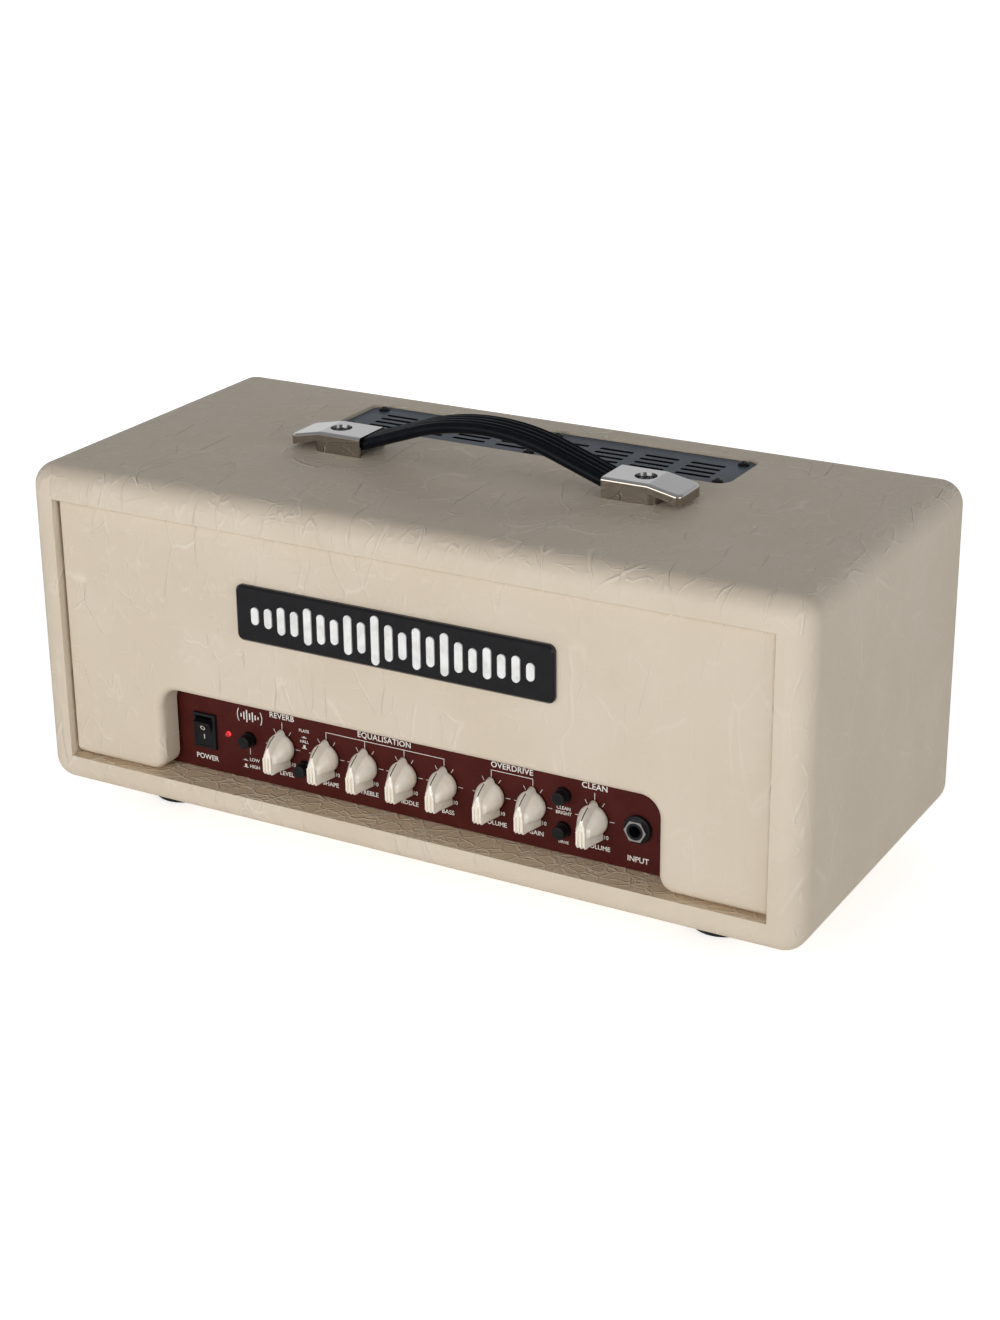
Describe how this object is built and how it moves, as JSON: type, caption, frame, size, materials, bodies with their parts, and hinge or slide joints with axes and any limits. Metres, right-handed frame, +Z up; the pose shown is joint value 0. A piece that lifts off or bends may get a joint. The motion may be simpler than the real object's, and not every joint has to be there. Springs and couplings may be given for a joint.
{
  "type": "guitar amplifier head",
  "caption": "Guitar amplifier head: cream vinyl cabinet with arched carry handle, vented top, recessed maroon control panel, pointer knobs, push buttons and a rocker power switch.",
  "frame": {"origin": "on the ground under the middle of the cabinet", "axes": "+X to the player's right along the width, +Y towards the back, +Z up; the controls face -Y"},
  "size_m": [0.47, 0.22, 0.2342],
  "materials": {
    "cream_vinyl": "cream vinyl with an elephant-hide crease, satin",
    "birch_board": "plain plywood and pine, sanded",
    "vent_paint": "blue-grey satin paint on steel sheet",
    "black_screw": "black oxide, satin",
    "badge_black": "gloss black moulded plate with a bevelled rim",
    "badge_white": "white raised bars",
    "black_rubber": "black moulded rubber",
    "chrome_plate": "bright chrome plating",
    "zinc_steel": "zinc-plated steel",
    "maroon_panel": "maroon satin screen-printed aluminium",
    "cream_knob": "glossy cream phenolic",
    "shaft_metal": "turned aluminium",
    "black_plastic": "black moulded plastic",
    "black_nylon": "matte black nylon",
    "red_lens": "clear red lens, lit",
    "circuit_green": "green solder-resist board with soldered parts",
    "wire_sheath": "blue PVC sheath"
  },
  "bodies": {
    "cabinet": {"sleeve_covering": "cream_vinyl", "baffle_covering": "cream_vinyl", "rear_panel_covering": "cream_vinyl", "sleeve_top_board": "birch_board", "sleeve_bottom_board": "birch_board", "sleeve_side_boards": "birch_board", "baffle_board": "birch_board", "rear_panel_board": "birch_board", "panel_cleats": "birch_board", "vent_plate": "vent_paint", "panel_screws": "black_screw", "badge_plate": "badge_black", "badge_motif": "badge_white", "rubber_feet": "black_rubber", "handle_caps": "chrome_plate", "handle_screws": "chrome_plate", "jack_nuts": "chrome_plate", "feet_screws": "zinc_steel", "handle_tee_nuts": "zinc_steel", "chassis_tray": "zinc_steel", "chassis_lid": "zinc_steel", "chassis_screws": "zinc_steel", "chassis_bolts": "zinc_steel", "potentiometer_nuts": "zinc_steel", "potentiometer_bodies": "zinc_steel", "control_panel": "maroon_panel", "heat_sink": "shaft_metal", "jack_collars": "black_plastic", "push_switch_bodies": "black_nylon", "power_switch_housing": "black_nylon", "jack_bodies": "black_nylon", "mains_inlet": "black_nylon", "power_led": "red_lens", "preamp_board": "circuit_green", "power_board": "circuit_green", "wiring_harness": "wire_sheath"},
    "knob_reverb_level": {"knob_reverb_level": "cream_knob", "shaft_reverb_level": "shaft_metal"},
    "knob_shape": {"knob_shape": "cream_knob", "shaft_shape": "shaft_metal"},
    "knob_treble": {"knob_treble": "cream_knob", "shaft_treble": "shaft_metal"},
    "knob_middle": {"knob_middle": "cream_knob", "shaft_middle": "shaft_metal"},
    "knob_bass": {"knob_bass": "cream_knob", "shaft_bass": "shaft_metal"},
    "knob_overdrive_volume": {"knob_overdrive_volume": "cream_knob", "shaft_overdrive_volume": "shaft_metal"},
    "knob_overdrive_gain": {"knob_overdrive_gain": "cream_knob", "shaft_overdrive_gain": "shaft_metal"},
    "knob_clean_volume": {"knob_clean_volume": "cream_knob", "shaft_clean_volume": "shaft_metal"},
    "button_power_level": {"button_power_level": "black_plastic"},
    "button_reverb_type": {"button_reverb_type": "black_plastic"},
    "button_clean_bright": {"button_clean_bright": "black_plastic"},
    "button_overdrive": {"button_overdrive": "black_plastic"},
    "power_rocker": {"power_switch_rocker": "black_plastic"},
    "fuse_drawer": {"fuse_drawer": "black_nylon"},
    "handle": {"handle_strap": "black_rubber", "handle_core": "zinc_steel"}
  },
  "joints": [
    {"name": "reverb_level_turn", "type": "hinge", "parent": "cabinet", "child": "knob_reverb_level", "pos_m": [-0.0845, -0.0884, 0.0568], "axis": [0, 1, 0], "range_deg": [-150, 150]},
    {"name": "shape_turn", "type": "hinge", "parent": "cabinet", "child": "knob_shape", "pos_m": [-0.0555, -0.0884, 0.0568], "axis": [0, 1, 0], "range_deg": [-150, 150]},
    {"name": "treble_turn", "type": "hinge", "parent": "cabinet", "child": "knob_treble", "pos_m": [-0.0305, -0.0884, 0.0568], "axis": [0, 1, 0], "range_deg": [-150, 150]},
    {"name": "middle_turn", "type": "hinge", "parent": "cabinet", "child": "knob_middle", "pos_m": [-0.0055, -0.0884, 0.0568], "axis": [0, 1, 0], "range_deg": [-150, 150]},
    {"name": "bass_turn", "type": "hinge", "parent": "cabinet", "child": "knob_bass", "pos_m": [0.0195, -0.0884, 0.0568], "axis": [0, 1, 0], "range_deg": [-150, 150]},
    {"name": "overdrive_volume_turn", "type": "hinge", "parent": "cabinet", "child": "knob_overdrive_volume", "pos_m": [0.0485, -0.0884, 0.0568], "axis": [0, 1, 0], "range_deg": [-150, 150]},
    {"name": "overdrive_gain_turn", "type": "hinge", "parent": "cabinet", "child": "knob_overdrive_gain", "pos_m": [0.0735, -0.0884, 0.0568], "axis": [0, 1, 0], "range_deg": [-150, 150]},
    {"name": "clean_volume_turn", "type": "hinge", "parent": "cabinet", "child": "knob_clean_volume", "pos_m": [0.11, -0.0884, 0.0568], "axis": [0, 1, 0], "range_deg": [-150, 150]},
    {"name": "power_level_press", "type": "slide", "parent": "cabinet", "child": "button_power_level", "axis": [0, 1, 0], "range_m": [0, 0.003]},
    {"name": "reverb_type_press", "type": "slide", "parent": "cabinet", "child": "button_reverb_type", "axis": [0, 1, 0], "range_m": [0, 0.003]},
    {"name": "clean_bright_press", "type": "slide", "parent": "cabinet", "child": "button_clean_bright", "axis": [0, 1, 0], "range_m": [0, 0.003]},
    {"name": "overdrive_press", "type": "slide", "parent": "cabinet", "child": "button_overdrive", "axis": [0, 1, 0], "range_m": [0, 0.003]},
    {"name": "power_rocker_tilt", "type": "hinge", "parent": "cabinet", "child": "power_rocker", "pos_m": [-0.1365, -0.0854, 0.0564], "axis": [-1, 0, 0], "range_deg": [0, 22]},
    {"name": "fuse_drawer_slide", "type": "slide", "parent": "cabinet", "child": "fuse_drawer", "axis": [0, 1, 0], "range_m": [0, 0.018]},
    {"name": "handle_flex", "type": "slide", "parent": "cabinet", "child": "handle", "axis": [0, 0, -1], "range_m": [0, 0.0015], "stiffness_N_per_m": 4000}
  ]
}
